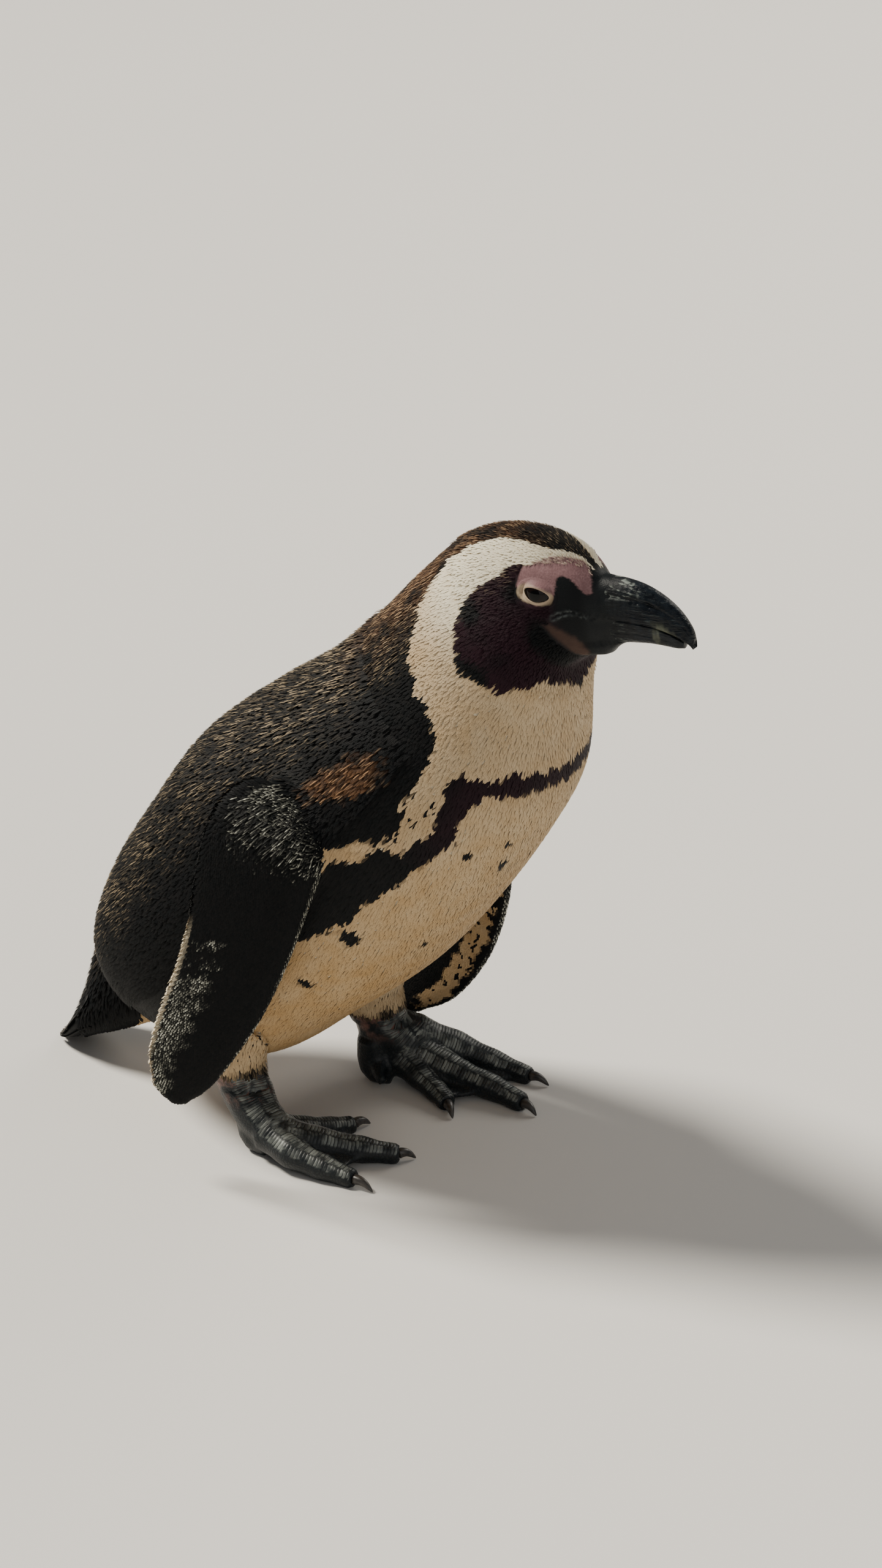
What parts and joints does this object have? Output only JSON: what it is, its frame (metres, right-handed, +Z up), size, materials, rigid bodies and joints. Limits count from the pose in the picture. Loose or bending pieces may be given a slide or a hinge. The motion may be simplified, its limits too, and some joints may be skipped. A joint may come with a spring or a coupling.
{
  "type": "african penguin",
  "caption": "Life-size African penguin as a still model, crouching on both webbed feet with its head drawn in, flippers hanging and the tail on the floor.",
  "frame": {"origin": "floor level, under the centre of the bird's bounding box", "axes": "+X is the way the bird faces, +Y its left side, +Z up"},
  "size_m": [0.3708, 0.1856, 0.3438],
  "materials": {
    "head_feather": "black-brown plumage with a white stripe, matt",
    "neck_feather": "cream plumage with a dark nape, matt",
    "trunk_feather": "black back and cream belly plumage, matt",
    "tail_feather": "black plumage, matt",
    "flipper_feather": "black scale-like plumage, slight sheen",
    "shank_feather": "short cream plumage, matt",
    "bill_horn": "black horn with a pale band near the tip, satin",
    "eye_wet": "dark wet eye, glossy",
    "foot_skin": "dark grey scaly skin, satin",
    "claw_horn": "dark horn, satin"
  },
  "bodies": {
    "root": {"bill_lower": "bill_horn", "bill_upper": "bill_horn", "claw_left_inner": "claw_horn", "claw_left_middle": "claw_horn", "claw_left_outer": "claw_horn", "claw_right_inner": "claw_horn", "claw_right_middle": "claw_horn", "claw_right_outer": "claw_horn", "eye_left": "eye_wet", "eye_right": "eye_wet", "flipper_left": "flipper_feather", "flipper_right": "flipper_feather", "foot_left": "foot_skin", "foot_right": "foot_skin", "head": "head_feather", "neck": "neck_feather", "shank_left": "shank_feather", "shank_right": "shank_feather", "tail": "tail_feather", "trunk": "trunk_feather"}
  },
  "joints": []
}
